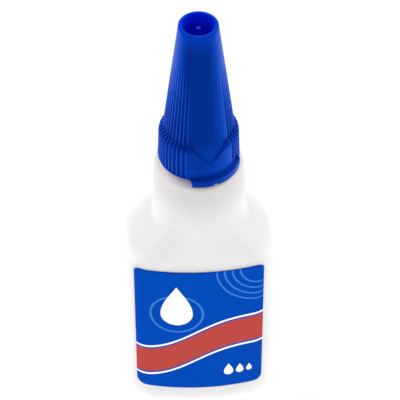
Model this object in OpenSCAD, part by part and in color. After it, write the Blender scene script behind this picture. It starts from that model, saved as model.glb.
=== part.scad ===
// Small squeeze bottle for instant adhesive: a moulded body, a pressed-in dropper nozzle
// and a tall screw cap with a sealing pin. Millimetres, +Z up, front towards -Y.

/* [Body] */
// Width of the body from side to side
body_width = 30; // [27:0.5:36]
// Depth of the body from front to back
body_depth = 19.8; // [19.6:0.1:26]
// Radius of the bowed front and back walls
bow_radius = 48; // [34:1:80]
// Radius of the upright corners
corner_radius = 5.5; // [4:0.25:7]
// Thickness of the moulded wall
wall = 1; // [0.6:0.1:1.4]
// Thickness of the floor
floor_wall = 1.2; // [0.8:0.1:2.4]
// Rounding of the edge round the base
base_round = 2.2; // [1.4:0.1:3.2]
// Depth of the hollow under the base
base_hollow = 0.6; // [0.2:0.1:1.2]
// Width of the flat rim that the bottle stands on
stand_rim = 2.4; // [1:0.2:4]
// Height at which the side walls turn into the shoulder
side_height = 44.1; // [43:0.1:60]
// How much higher the front and back walls reach than the side walls
front_rise = 0.9; // [0.5:0.1:4]
// Height of the shoulder above the middle of the front wall
shoulder_height = 8.8; // [6:0.1:12]
// How much lower the shoulder meets the collar at its sides than at its front
collar_dip = 4.4; // [1:0.2:5]
// Rounding along the edge between the walls and the shoulder
shoulder_round = 1.6; // [0.6:0.1:2.4]

/* [Collar and neck] */
// Diameter of the collar at its foot
collar_foot_d = 19.3; // [18.2:0.1:21]
// Diameter of the collar at its top
collar_top_d = 17.8; // [17:0.1:19]
// Height of the collar
collar_height = 10.6; // [6:0.1:16]
// Rounding of the collar's top edge
collar_round = 1.2; // [0.2:0.1:1.4]
// Outer diameter of the neck without its thread
neck_d = 10.6; // [10:0.1:12]
// Height of the neck above the collar
neck_height = 7; // [6:0.1:10]
// Diameter of the bore in the neck
bore_d = 8.6; // [7:0.1:9]

/* [Screw thread] */
// Rise of the thread in one turn
thread_lead = 2.2; // [1.8:0.1:3]
// Height of a thread's ridge above its wall
thread_depth = 0.7; // [0.4:0.05:0.9]
// Width of a ridge at its root
thread_root = 1.2; // [0.8:0.1:1.6]
// Width of a ridge at its crest
thread_crest = 0.5; // [0.3:0.1:0.8]
// Most turns of the ridge on the neck and of the one in the cap
thread_turns = 1.25; // [0.75:0.25:1.5]
// Height left free under the cap's ridge and over the neck's ridge
thread_end = 0.1; // [0.05:0.05:0.4]
// Height of the neck's ridge above the cap's ridge that it holds
thread_hold = 0.85; // [0.75:0.05:1]
// Gap between a ridge's crest and the wall that faces it
thread_gap = 0.35; // [0.2:0.05:0.6]

/* [Nozzle] */
// Length of the plug inside the neck
plug_length = 5; // [3:0.1:7]
// Wall of the plug
plug_wall = 0.9; // [0.6:0.1:1.4]
// Squeeze of the plug in the bore, on the radius
plug_squeeze = 0.04; // [0.01:0.01:0.08]
// Thickness of the flange on top of the neck
flange_height = 0.8; // [0.6:0.1:1.6]
// Step of the flange inside the neck's outer edge
flange_inset = 0.1; // [0.05:0.05:0.6]
// Diameter of the spout at its foot
spout_foot_d = 7.2; // [5:0.1:8]
// Diameter of the spout at its tip
spout_tip_d = 2.6; // [2.2:0.1:3.6]
// Height of the spout above the flange
spout_height = 18.25; // [14:0.05:22]
// Wall of the spout at its foot
spout_wall = 0.9; // [0.6:0.1:1.4]
// Diameter of the bore that lets the drops out
orifice_d = 1.4; // [1.2:0.1:1.6]
// Length of that bore below the tip
orifice_length = 5; // [3:0.1:8]

/* [Cap] */
// Wall of the skirt round the thread
skirt_wall = 1.68; // [1.4:0.02:2.2]
// How much narrower the skirt is at the foot of its rounding
skirt_draft = 0.18; // [0:0.02:0.3]
// Gap between the collar and the cap's lowest edge
seat_gap = 0.15; // [0.1:0.05:0.8]
// Height of the two low bands under the skirt's rim
band_height = 1.65; // [0.8:0.05:2]
// How far the bands stand out from the skirt
band_proud = 0.2; // [0.05:0.05:0.3]
// Height of the groove above each band
groove_height = 2.2; // [1:0.1:3]
// Depth of that groove
groove_depth = 0.8; // [0.2:0.05:0.9]
// Height of the smooth lip under the grip grooves
rim_lip = 0.4; // [0.2:0.1:0.8]
// Room above the nozzle's flange
head_room = 0.4; // [0.3:0.1:1.2]
// Thickness of the cap over that room
ledge_wall = 1; // [0.8:0.1:2]
// Height of the rounding on top of the skirt
skirt_round = 1.3; // [0.6:0.1:2.2]
// Diameter of the cone at its foot
cone_foot_d = 14; // [12.6:0.1:14.6]
// Diameter of the cone at its top
cone_top_d = 7.6; // [7.2:0.1:9]
// Wall of the cone
cone_wall = 1.3; // [0.8:0.1:1.6]
// Gap between the nozzle's tip and the web inside the cap
tip_gap = 1.3; // [1:0.1:2.4]
// Thickness of the web under the recess
web = 1.2; // [0.8:0.1:2]
// Diameter of the recess at its mouth
recess_d = 6.2; // [5:0.1:6.6]
// How much narrower the recess is at its floor, on the radius
recess_draft = 0.2; // [0:0.05:0.4]
// Depth of the recess in the top
recess_depth = 6.5; // [4:0.1:9]
// Rounding of the rim round the recess
top_round = 0.25; // [0.1:0.05:0.3]

/* [Grip] */
// Turn of the cap's smooth panel away from the front
panel_turn = 14.5; // [0:0.5:90]
// Angle from the panel's middle to the first grip groove
panel_angle = 38.8; // [25:0.2:60]
// Grip grooves between the two smooth panels
grip_count = 15; // [7:1:17]
// Depth of a groove in the skirt
grip_depth = 0.3; // [0.1:0.02:0.4]
// Depth of a groove at the cone's foot
flute_depth = 0.28; // [0.1:0.02:0.4]
// Distance below the top at which the grooves fade out
flute_fade = 6; // [3:0.5:10]
// Angle from the middle to the edge of the pointed notch
mark_angle = 25.5; // [10:0.1:30]
// Height of the pointed notch below the cone's foot
mark_height = 3.4; // [2:0.1:4.5]
// Angle from the panel's middle back to a band's start
band_back = 27.5; // [10:0.5:45]
// Angle from the panel's middle on to a band's end
band_on = 62.5; // [30:0.5:90]
// Angle by which the groove stops short of a band's ends
groove_stop = 3; // [1.5:0.5:6]

/* [Sealing pin] */
// Diameter of the post that shows in the recess
post_d = 0.8; // [0.6:0.05:1.4]
// Depth of the post's top below the cap's rim
post_drop = 0.85; // [0.3:0.05:3]
// Running gap between the pin and the cap
pin_gap = 0.05; // [0.02:0.01:0.1]
// Diameter of the stop under the web
stop_d = 2.8; // [2:0.1:4]
// Thickness of the stop
stop_height = 0.5; // [0.3:0.05:0.6]
// Diameter of the needle in the nozzle's bore
needle_d = 0.9; // [0.5:0.05:1]
// Reach of the needle into the nozzle's bore
needle_reach = 3.6; // [1:0.1:4]

/* [Labels] */
// Width of a label, straight across
label_width = 26.2; // [16:0.2:27]
// Height of a label
label_height = 36; // [20:0.2:36.4]
// Height of a label's lower edge above the base
label_low = 6; // [4.2:0.1:6.4]
// Radius of a label's corners
label_corner = 1.4; // [0.4:0.1:4]
// Thickness of a label
label_thick = 0.12; // [0.05:0.01:0.2]
// Sideways place of a label's middle
label_shift = -0.4; // [-1:0.1:1]

/* [Contents] */
// Level of the adhesive above the base
fill_level = 42; // [10:0.5:42]
// Skin of air that keeps the adhesive's solid clear of the wall
fill_gap = 0.05; // [0.02:0.01:0.2]

/* [Hidden] */
$fn = 96;

// Overrun of every cut past the face that it opens
overrun = 1;
// Depth to which a thread's ridge sinks into its wall
ridge_seat = 0.2;
// Depth of the step round the pointed notch at its lowest
mark_sink = 0.06;
// Least radius of a corner of the plan when it is drawn in
corner_least = 0.5;
// Step at the collar's foot, where the shoulder ends, and the depth to which it runs on inside the collar
collar_step = 0.1;
collar_sink = 0.3;

// Steps along half of a bowed wall, round a corner, along half of a side and round an edge
bow_steps = 6;
corner_steps = 6;
side_steps = 3;
round_steps = 4;
// Steps across one smooth panel of the cap
panel_steps = 14;
// Steps in one turn of a thread, and the share of a turn over which its ends fade
turn_steps = 24;
fade_share = 0.12;
// Turn of the threads that keeps their steps off the edges of the walls' facets
thread_phase = 0.4;
// Power of the curve by which the wall's upper edge falls from the front to the sides
rim_power = 3.5;
// Power of the curve by which the collar's foot falls from the front to the sides
dip_power = 3;
// Share by which the shoulder's folds gather at the collar's front and back
fan_share = 0.6;
// Share of the wall by which the inside of the shoulder lies lower than the outside
slant_share = 0.25;

front_height = side_height + front_rise;
collar_z = front_height + shoulder_height;
collar_top_z = collar_z + collar_height;
neck_top_z = collar_top_z + neck_height;
flange_top_z = neck_top_z + flange_height;
tip_z = flange_top_z + spout_height;
neck_r = neck_d / 2;
bore_r = bore_d / 2;
inner_floor_z = base_hollow + floor_wall;

cap_bore_r = neck_r + thread_depth + thread_gap;
skirt_r = cap_bore_r + skirt_wall;
band_z = collar_top_z + seat_gap;
rim_z = band_z + band_height;
ceiling_z = flange_top_z + head_room;
cone_z = ceiling_z + ledge_wall;
skirt_top_z = cone_z - skirt_round;
web_z = tip_z + tip_gap;
recess_z = web_z + web;
cap_top_z = recess_z + recess_depth;
cone_foot_r = cone_foot_d / 2;
cone_top_r = cone_top_d / 2;
skirt_top_r = skirt_r - skirt_draft;
mark_z = cone_z - mark_height;
cap_thread_z = rim_z + thread_end + thread_root / 2;
neck_thread_z = cap_thread_z + thread_hold;
turns = min(thread_turns, (neck_top_z - thread_end - thread_root / 2 - neck_thread_z) / thread_lead);
grip_pitch = (180 - 2 * panel_angle) / (grip_count - 1);
panel_edge = panel_angle - grip_pitch / 2;

// Radius of the cone's and of the skirt's outside at a height
function cone_r(z) = cone_top_r + (cone_foot_r - cone_top_r) * (cap_top_z - z) / (cap_top_z - cone_z);
function skirt_r_at(z) = skirt_r - skirt_draft * (z - rim_z) / (skirt_top_z - rim_z);

// One quarter of the body's plan, from the middle of the front to the middle of the right side:
// half of the bowed wall, the corner and half of the flat side, all drawn in by an inset
function plan_quarter(inset) =
    let (
        half_w = body_width / 2 - inset,
        half_d = body_depth / 2 - inset,
        bow = bow_radius - inset,
        corner = max(corner_radius - inset, corner_least),
        bow_end = asin((half_w - corner) / (bow - corner)),
        side_y = half_d - bow + sqrt(pow(bow - corner, 2) - pow(half_w - corner, 2))
    )
    concat(
        [
            for (k = [0 : bow_steps])
                let (a = bow_end * k / bow_steps)
                [bow * sin(a), bow - half_d - bow * cos(a)]
        ],
        [
            for (k = [1 : corner_steps])
                let (a = bow_end + (90 - bow_end) * k / corner_steps)
                [half_w - corner + corner * sin(a), -side_y - corner * cos(a)]
        ],
        [for (k = [1 : side_steps]) [half_w, -side_y * (1 - k / side_steps)]]
    );

// The whole plan, counter-clockwise from the middle of the front
function plan(inset) =
    let (q = plan_quarter(inset), last = len(q) - 1)
    concat(
        q,
        [for (k = [last - 1 : -1 : 0]) [q[k][0], -q[k][1]]],
        [for (k = [1 : last]) [-q[k][0], -q[k][1]]],
        [for (k = [last - 1 : -1 : 1]) [-q[k][0], q[k][1]]]
    );

outer_plan = plan(0);

// Height of the wall's upper edge, which falls from the front and back to the sides
function wall_top(x) = side_height + front_rise * (1 - pow(abs(x) / (body_width / 2), rim_power));

// A level ring of the body, the sloping ring along the top of its walls, and a ring on the collar,
// level or dipping at its sides
function level_ring(inset, z) = [for (p = plan(inset)) [p[0], p[1], z]];
function wall_ring(inset, drop) =
    let (drawn = plan(inset))
    [for (k = [0 : len(drawn) - 1]) [drawn[k][0], drawn[k][1], wall_top(outer_plan[k][0]) - drop]];
function collar_ring(r, z, dip) = [
    for (p = outer_plan)
        let (a = atan2(fan_share * p[0], -p[1]))
        [r * sin(a), -r * cos(a), z - dip * pow(abs(sin(a)), dip_power)]
];

// A point at share t of the round between three points: two straight legs meeting in the middle one
function bend(from, mid, to, t) = pow(1 - t, 2) * from + 2 * t * (1 - t) * mid + pow(t, 2) * to;
function unit(v) = v / norm(v);

// Rings round the base edge, an upright wall and a shoulder that runs up to the collar
function base_rings(inset, z, edge) = [
    for (k = [0 : round_steps])
        let (a = 90 * k / round_steps)
        level_ring(inset + edge * (1 - sin(a)), z + edge * (1 - cos(a)))
];
function shoulder_rings(inset, drop, r) =
    let (edge = wall_ring(inset, drop), top = collar_ring(r, collar_z - drop, collar_dip))
    concat(
        [
            for (k = [0 : round_steps])
                [
                    for (i = [0 : len(edge) - 1])
                        bend(
                            edge[i] - [0, 0, shoulder_round],
                            edge[i],
                            edge[i] + shoulder_round * unit(top[i] - edge[i]),
                            k / round_steps
                        )
                ]
        ],
        [
            top,
            collar_ring(r - collar_sink, collar_z - drop + collar_sink, collar_dip),
            collar_ring(r - collar_sink, collar_z - drop + 2 * collar_sink, 0)
        ]
    );

// Solid through a stack of rings with equal counts of points, each counter-clockwise from ahead
module skin(rings) {
    n = len(rings[0]);
    last = len(rings) - 1;
    polyhedron(
        points = [for (ring = rings) each ring],
        faces = concat(
            [[for (k = [0 : n - 1]) k]],
            [
                for (j = [0 : last - 1], k = [0 : n - 1])
                    let (low = j * n, high = low + n, m = (k + 1) % n)
                    each [[low + k, high + k, high + m], [low + k, high + m, low + m]]
            ],
            [[for (k = [n - 1 : -1 : 0]) last * n + k]]
        )
    );
}

// Right-hand screw ridge that stands on a wall of radius wall_r and is thread_depth high;
// side is 1 for a ridge that stands outwards and -1 for one that stands inwards
module ridge(wall_r, side, z) {
    steps = floor(turns * turn_steps);
    root_r = wall_r - side * ridge_seat;
    order = side > 0 ? [0, 3, 2, 1] : [0, 1, 2, 3];
    skin([
        for (k = [0 : steps])
            let (
                share = k / steps,
                rise = min(1, share / fade_share, (1 - share) / fade_share),
                crest_r = wall_r + side * (rise * thread_depth - (1 - rise) * ridge_seat / 2),
                a = thread_phase + 360 * k / turn_steps,
                mid = z + thread_lead * k / turn_steps,
                section = [
                    [root_r, mid - thread_root / 2],
                    [crest_r, mid - thread_crest / 2],
                    [crest_r, mid + thread_crest / 2],
                    [root_r, mid + thread_root / 2]
                ]
            )
            [for (i = order) [section[i][0] * cos(a), section[i][0] * sin(a), section[i][1]]]
    ]);
}

// Outside of the collar and the neck, as a half profile
function collar_profile() = [
    [0, collar_z - shoulder_height],
    [collar_foot_d / 2, collar_z - shoulder_height],
    [collar_foot_d / 2, collar_z],
    [collar_top_d / 2, collar_top_z - collar_round],
    for (k = [1 : round_steps]) let (a = 90 * k / round_steps)
        [collar_top_d / 2 - collar_round * (1 - cos(a)), collar_top_z - collar_round * (1 - sin(a))],
    [neck_r, collar_top_z],
    [neck_r, neck_top_z],
    [0, neck_top_z]
];

// Inside of the collar and the neck, as a half profile
function throat_profile() = [
    [0, collar_z - slant_share * wall - collar_step],
    [collar_foot_d / 2 - wall - collar_step, collar_z - slant_share * wall - collar_step],
    [collar_top_d / 2 - wall - collar_step, collar_top_z - wall - collar_round],
    [bore_r, collar_top_z - wall],
    [bore_r, neck_top_z + overrun],
    [0, neck_top_z + overrun]
];

// Moulded bottle: body, shoulder, collar and threaded neck in one hollow piece
module bottle_shell() {
    color([0.94, 0.93, 0.92])
    difference() {
        union() {
            skin(concat(base_rings(0, 0, base_round), shoulder_rings(0, 0, collar_foot_d / 2 + collar_step)));
            rotate_extrude() polygon(collar_profile());
            ridge(neck_r, 1, neck_thread_z);
        }
        skin(concat(
            base_rings(wall, inner_floor_z, base_round - wall),
            shoulder_rings(wall, slant_share * wall, collar_foot_d / 2 - wall)
        ));
        rotate_extrude() polygon(throat_profile());
        translate([0, 0, -overrun])
        linear_extrude(overrun + base_hollow) polygon(plan(base_round + stand_rim));
    }
}

// Dropper nozzle: plug in the neck, flange on the neck's rim and a tapered spout
module nozzle() {
    plug_r = bore_r + plug_squeeze;
    color([0.96, 0.96, 0.95])
    rotate_extrude() polygon([
        [plug_r - plug_wall, neck_top_z - plug_length],
        [plug_r, neck_top_z - plug_length],
        [plug_r, neck_top_z],
        [neck_r - flange_inset, neck_top_z],
        [neck_r - flange_inset, flange_top_z],
        [spout_foot_d / 2, flange_top_z],
        [spout_tip_d / 2, tip_z],
        [orifice_d / 2, tip_z],
        [orifice_d / 2, tip_z - orifice_length],
        [spout_foot_d / 2 - spout_wall, flange_top_z],
        [plug_r - plug_wall, neck_top_z]
    ]);
}

// Angle from the middle of the nearer smooth panel, and the share of a groove's depth there
function panel_offset(a) = a - 180 * floor((a + 90) / 180);
function groove_share(a) =
    let (t = abs(panel_offset(a)))
    t < panel_edge ? 0 : (1 + cos(360 * (t - panel_angle) / grip_pitch)) / 2;
function on_band(a) =
    let (t = panel_offset(a))
    t > -band_back - grip_pitch / 2 && t < band_on + grip_pitch / 2;

// Angles round the cap: a few across each smooth panel and four to each grip groove
cap_angles = [
    for (turn = [0, 180])
        each concat(
            [for (k = [0 : panel_steps]) turn + panel_edge * (2 * k / panel_steps - 1)],
            [for (k = [1 : 4 * grip_count - 1]) turn + panel_edge + grip_pitch * k / 4]
        )
];

// One ring of the cap's outside, grooved to a depth and proud along the bands
function cap_ring(z, r, depth, proud) = [
    for (a = cap_angles)
        let (here = r - depth * groove_share(a) + (on_band(a) ? proud : 0))
        [here * sin(a), -here * cos(a), z]
];

// Rings of the cap's outside from the bands up to the rim round the recess
function cap_rings() = concat(
    [
        cap_ring(band_z, skirt_r, 0, band_proud),
        cap_ring(rim_z, skirt_r, 0, band_proud),
        cap_ring(rim_z + rim_lip, skirt_r_at(rim_z + rim_lip), 0, 0),
        cap_ring(rim_z + 2 * rim_lip, skirt_r_at(rim_z + 2 * rim_lip), grip_depth, 0)
    ],
    [
        for (k = [0 : round_steps])
            let (a = 90 * k / round_steps)
            cap_ring(
                skirt_top_z + skirt_round * sin(a),
                cone_foot_r + (skirt_top_r - cone_foot_r) * cos(a),
                grip_depth + (flute_depth - grip_depth) * k / round_steps,
                0
            )
    ],
    [cap_ring(cap_top_z - flute_fade, cone_r(cap_top_z - flute_fade), 0, 0)],
    [
        for (k = [0 : round_steps])
            let (a = 90 * k / round_steps)
            cap_ring(cap_top_z - top_round * (1 - sin(a)), cone_top_r - top_round * (1 - cos(a)), 0, 0)
    ]
);

// Space inside the cap for the neck and the nozzle, and the recess in its top, as half profiles
function cap_hollow() = [
    [0, band_z - overrun],
    [cap_bore_r, band_z - overrun],
    [cap_bore_r, ceiling_z],
    [cone_foot_r - cone_wall, ceiling_z],
    [cone_r(web_z) - cone_wall, web_z],
    [post_d / 2 + pin_gap, web_z],
    [post_d / 2 + pin_gap, recess_z],
    [recess_d / 2 - recess_draft, recess_z],
    [recess_d / 2, cap_top_z],
    [recess_d / 2, cap_top_z + overrun],
    [0, cap_top_z + overrun]
];

// A sector of a ring with a half profile, from one angle to another, counted from the front
module sector(profile, from, to) {
    rotate([0, 0, from - 90]) rotate_extrude(angle = to - from) polygon(profile);
}

// Cutter for a sector of the skirt between two heights, from a radius outwards
module skirt_cut(inner_r, low_z, high_z, from, to) {
    outer_r = skirt_r + band_proud + overrun;
    sector([[inner_r, low_z], [outer_r, low_z], [outer_r, high_z], [inner_r, high_z]], from, to);
}

// Pointed notch: the cone's slope runs on as a ramp that ends at a point on the skirt
module pointed_notch() {
    half_w = skirt_r * sin(mark_angle);
    intersection() {
        rotate([90, 0, 0])
        linear_extrude(skirt_r + overrun)
        polygon([[0, mark_z], [half_w, cone_z], [-half_w, cone_z]]);
        rotate_extrude() polygon([
            [cone_foot_r - mark_sink, cone_z],
            [skirt_r_at(mark_z) - mark_sink, mark_z],
            [skirt_r + overrun, mark_z],
            [skirt_r + overrun, cone_z]
        ]);
    }
}

// Screw cap: skirt with thread, bands and grip, and the tall cone with its recess
module cap_shell() {
    color([0.02, 0.2, 0.6])
    union() {
        rotate([0, 0, panel_turn])
        difference() {
            skin(cap_rings());
            rotate_extrude() polygon(cap_hollow());
            for (turn = [0, 180]) {
                gap_from = turn + band_on;
                gap_to = turn + 180 - band_back;
                groove_from = turn - band_back + groove_stop;
                groove_to = gap_from - groove_stop;
                skirt_cut(cap_bore_r - overrun, band_z - overrun, rim_z, gap_from, gap_to);
                skirt_cut(skirt_r - groove_depth, rim_z, rim_z + groove_height, groove_from, groove_to);
                rotate([0, 0, turn]) pointed_notch();
            }
        }
        ridge(cap_bore_r, -1, cap_thread_z);
    }
}

// Pin that closes the nozzle: post in the recess, stop under the web and needle in the bore
module sealing_pin() {
    stop_z = web_z - pin_gap;
    color([0.1, 0.35, 0.75])
    rotate_extrude() polygon([
        [0, tip_z - needle_reach],
        [needle_d / 4, tip_z - needle_reach],
        [needle_d / 2, tip_z - needle_reach + needle_d / 2],
        [needle_d / 2, stop_z - stop_height],
        [stop_d / 2, stop_z - stop_height],
        [stop_d / 2, stop_z],
        [post_d / 2, stop_z],
        [post_d / 2, cap_top_z - post_drop],
        [0, cap_top_z - post_drop]
    ]);
}

// Rounded rectangle of a label, seen from the front
module label_outline() {
    translate([label_shift - label_width / 2, label_low])
    union() {
        translate([label_corner, 0]) square([label_width - 2 * label_corner, label_height]);
        translate([0, label_corner]) square([label_width, label_height - 2 * label_corner]);
        for (x = [label_corner, label_width - label_corner], y = [label_corner, label_height - label_corner])
            translate([x, y]) circle(r = label_corner);
    }
}

// Thin label that follows the bowed wall and starts round the corners
module label() {
    intersection() {
        rotate([90, 0, 0]) linear_extrude(body_depth) label_outline();
        difference() {
            linear_extrude(collar_z) polygon(plan(-label_thick));
            translate([0, 0, -overrun]) linear_extrude(collar_z + 2 * overrun) polygon(outer_plan);
        }
    }
}

module front_label() {
    color([0.1, 0.3, 0.65]) label();
}

module back_label() {
    color([0.9, 0.9, 0.9]) rotate([0, 0, 180]) label();
}

// Liquid adhesive in the lower part of the body
module adhesive() {
    inset = wall + fill_gap;
    color([0.9, 0.92, 0.9, 0.6])
    skin(concat(
        base_rings(inset, inner_floor_z + fill_gap, base_round - wall),
        [level_ring(inset, fill_level)]
    ));
}

bottle_shell();
nozzle();
cap_shell();
sealing_pin();
front_label();
back_label();
adhesive();
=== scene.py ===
# %% [markdown]
# # A small squeeze bottle with a cone cap
# The real thing is a blow-moulded milky bottle, a dropper nozzle pressed into its neck, a tall blue
# screw cap with a sealing pin, two film labels and the adhesive inside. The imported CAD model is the
# frame: it fixes every size and every axis, and this file gives the pieces their finished surfaces.
# Each visible shape is a formula on a grid of two parameters, because a formula gives smooth walls and
# crisp grooves with even faces.

import bpy
import numpy as np
from mathutils import Matrix, Vector


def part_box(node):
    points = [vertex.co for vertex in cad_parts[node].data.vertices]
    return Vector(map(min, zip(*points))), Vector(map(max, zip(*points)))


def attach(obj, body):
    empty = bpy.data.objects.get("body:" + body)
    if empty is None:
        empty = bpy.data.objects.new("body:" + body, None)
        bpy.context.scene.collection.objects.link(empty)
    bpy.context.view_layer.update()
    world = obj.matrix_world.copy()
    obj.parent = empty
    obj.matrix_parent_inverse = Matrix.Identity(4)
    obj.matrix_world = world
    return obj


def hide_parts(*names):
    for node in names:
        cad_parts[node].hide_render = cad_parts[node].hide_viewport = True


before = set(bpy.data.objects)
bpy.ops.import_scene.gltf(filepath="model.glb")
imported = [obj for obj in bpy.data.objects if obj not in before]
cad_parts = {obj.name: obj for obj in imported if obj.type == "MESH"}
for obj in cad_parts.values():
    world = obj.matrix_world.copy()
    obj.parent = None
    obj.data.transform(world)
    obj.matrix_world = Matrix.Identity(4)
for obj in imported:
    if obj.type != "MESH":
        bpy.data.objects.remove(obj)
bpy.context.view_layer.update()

MM = 0.001


def box_mm(node):
    """Lowest and highest corner of a CAD node at rest, in millimetres."""
    low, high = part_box(node)
    return np.array(low) / MM, np.array(high) / MM


# %% [markdown]
# ## From a grid of points to a closed mesh
# Nearly every moulded piece here goes round the upright axis. Its surface is a grid whose columns run
# round the axis and whose rows run along the outline of the wall. Modelling such a wall by hand would
# mean many loop cuts; with arrays the whole grid is worked out at once, and the faces follow from the
# row and column numbers.

# %% Helpers for grids
def grid_piece(name, points, ring_shaped=False):
    """Closed mesh from points in mm, shaped (rows, columns, 3).

    The columns close round the axis. The rows close on themselves too when the piece is ring-shaped;
    otherwise the first and the last row are drawn together in one point on the axis. Each face joins two
    neighbours in a row with the two above them, so it points outwards where the rows climb on the outside.
    """
    rows, columns, _ = points.shape
    here = np.arange(rows * columns).reshape(rows, columns)
    right = np.roll(here, -1, axis=1)
    vertices = points.reshape(-1, 3)
    if ring_shaped:
        above = np.roll(here, -1, axis=0)
        above_right = np.roll(right, -1, axis=0)
        faces = np.stack([here, right, above_right, above], axis=-1).reshape(-1, 4).tolist()
    else:
        quads = np.stack([here[:-1], right[:-1], right[1:], here[1:]], axis=-1).reshape(-1, 4)
        first, last = rows * columns, rows * columns + 1
        poles = np.stack([points[0].mean(axis=0), points[-1].mean(axis=0)])
        vertices = np.concatenate([vertices, poles])
        low_fan = np.stack([np.full(columns, first), right[0], here[0]], axis=-1)
        high_fan = np.stack([here[-1], right[-1], np.full(columns, last)], axis=-1)
        faces = quads.tolist() + low_fan.tolist() + high_fan.tolist()
    mesh = bpy.data.meshes.new(name)
    mesh.from_pydata((vertices * MM).tolist(), [], faces)
    mesh.shade_smooth()
    piece = bpy.data.objects.new(name, mesh)
    bpy.context.scene.collection.objects.link(piece)
    print(name, "has", len(faces), "faces")
    return piece


def ring(outline, z):
    """Points of a flat outline (columns, 2), lifted to a height or to one height per column."""
    height = np.broadcast_to(np.asarray(z, float), outline.shape[:1])
    return np.concatenate([outline, height[:, None]], axis=1)


def run(start, end, steps):
    """Rows on straight lines from one ring to another, both ends included."""
    share = np.linspace(0, 1, steps)[:, None, None]
    return start + (end - start) * share


def bend(start, corner, end, steps):
    """Rows round a corner: (1-t)^2 of the start, 2t(1-t) of the corner and t^2 of the end."""
    share = np.linspace(0, 1, steps)[:, None, None]
    return (1 - share) ** 2 * start + 2 * share * (1 - share) * corner + share ** 2 * end


def smooth_step(value, low, high):
    """0 below low, 1 above high, and the curve 3t^2 - 2t^3 in between."""
    share = np.clip((value - low) / (high - low), 0, 1)
    return share * share * (3 - 2 * share)


# %% [markdown]
# ## The body's outline
# Seen from above, the bottle has a bowed front and back, round corners and flat sides. The outline
# could be drawn as a curve object, but the shoulder, the labels and the inside all follow it, so it is
# a function: two arcs and a straight run make one quarter, and the other three quarters mirror it.

# %% Outline of the body
bottle_low, bottle_high = box_mm("bottle_shell")
BODY_WIDTH = bottle_high[0] - bottle_low[0]
BODY_DEPTH = bottle_high[1] - bottle_low[1]
BOW_RADIUS = 48.0
CORNER_RADIUS = 5.5
CORNER_LEAST = 0.5
BOW_STEPS = 20
CORNER_STEPS = 16
SIDE_STEPS = 16


def plan(inset):
    """Outline (columns, 2) of the body drawn in by an inset, counter-clockwise from the front's middle.

    A quarter is an arc of the bow radius, an arc of the corner radius that meets it smoothly, and
    a straight side.
    """
    half_w = BODY_WIDTH / 2 - inset
    half_d = BODY_DEPTH / 2 - inset
    bow = BOW_RADIUS - inset
    corner = max(CORNER_RADIUS - inset, CORNER_LEAST)
    bow_end = np.arcsin((half_w - corner) / (bow - corner))
    side_y = half_d - bow + np.sqrt((bow - corner) ** 2 - (half_w - corner) ** 2)
    on_bow = np.linspace(0, bow_end, BOW_STEPS + 1)
    on_corner = np.linspace(bow_end, np.pi / 2, CORNER_STEPS + 1)[1:]
    on_side = np.linspace(0, 1, SIDE_STEPS + 1)[1:]
    x = np.concatenate([
        bow * np.sin(on_bow),
        half_w - corner + corner * np.sin(on_corner),
        np.full(SIDE_STEPS, half_w),
    ])
    y = np.concatenate([
        bow - half_d - bow * np.cos(on_bow),
        -side_y - corner * np.cos(on_corner),
        -side_y * (1 - on_side),
    ])
    whole_x = np.concatenate([x, x[-2::-1], -x[1:], -x[-2:0:-1]])
    whole_y = np.concatenate([y, -y[-2::-1], -y[1:], y[-2:0:-1]])
    return np.stack([whole_x, whole_y], axis=1)


body_plan = plan(0)
print("body outline:", len(body_plan), "points,", BODY_WIDTH, "by", BODY_DEPTH, "mm")


# %% [markdown]
# ## Screw threads
# The neck carries a ridge that climbs round it, and the cap carries another one inside. A helix can be
# swept as a separate strip, but then it would cut through the wall. Here it is a bump added to the
# wall's radius: each grid point asks how far above or below the nearest turn it lies.

# %% Thread formula
THREAD_LEAD = 2.2
THREAD_DEPTH = 0.7
THREAD_ROOT = 1.2
THREAD_CREST = 0.5
THREAD_TURNS = 1.25
THREAD_FADE = 0.18


def thread_height(angle, z, start_z):
    """Height of a right-hand ridge at an angle (radians) and a height z.

    The middle of turn n lies at start_z + lead * (angle / full turn + n). The ridge is a trapezium about
    it, and it fades to nothing at both ends of its length.
    """
    part_turn = np.mod(angle, 2 * np.pi) / (2 * np.pi)
    turn = np.round((z - start_z) / THREAD_LEAD - part_turn)
    along = turn + part_turn
    off = np.abs(z - start_z - THREAD_LEAD * along)
    flank = np.clip((THREAD_ROOT / 2 - off) / (THREAD_ROOT / 2 - THREAD_CREST / 2), 0, 1)
    ends = np.clip(along / THREAD_FADE, 0, 1) * np.clip((THREAD_TURNS - along) / THREAD_FADE, 0, 1)
    return THREAD_DEPTH * flank * ends


print("thread:", THREAD_TURNS, "turns,", THREAD_LEAD, "mm in a turn")


# %% [markdown]
# ## The bottle
# The bottle is blown in one piece: a base with a shallow hollow, upright walls, a folded shoulder, a
# slightly tapered collar and a threaded neck. It could be boxed out and subdivided, but the shoulder's
# folds come from joining the body's outline to the collar's circle, and that is simply a straight run
# between two rings. The rows go from the middle of the base up the outside, over the lip and down the
# inside, so the wall has a thickness.

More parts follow.
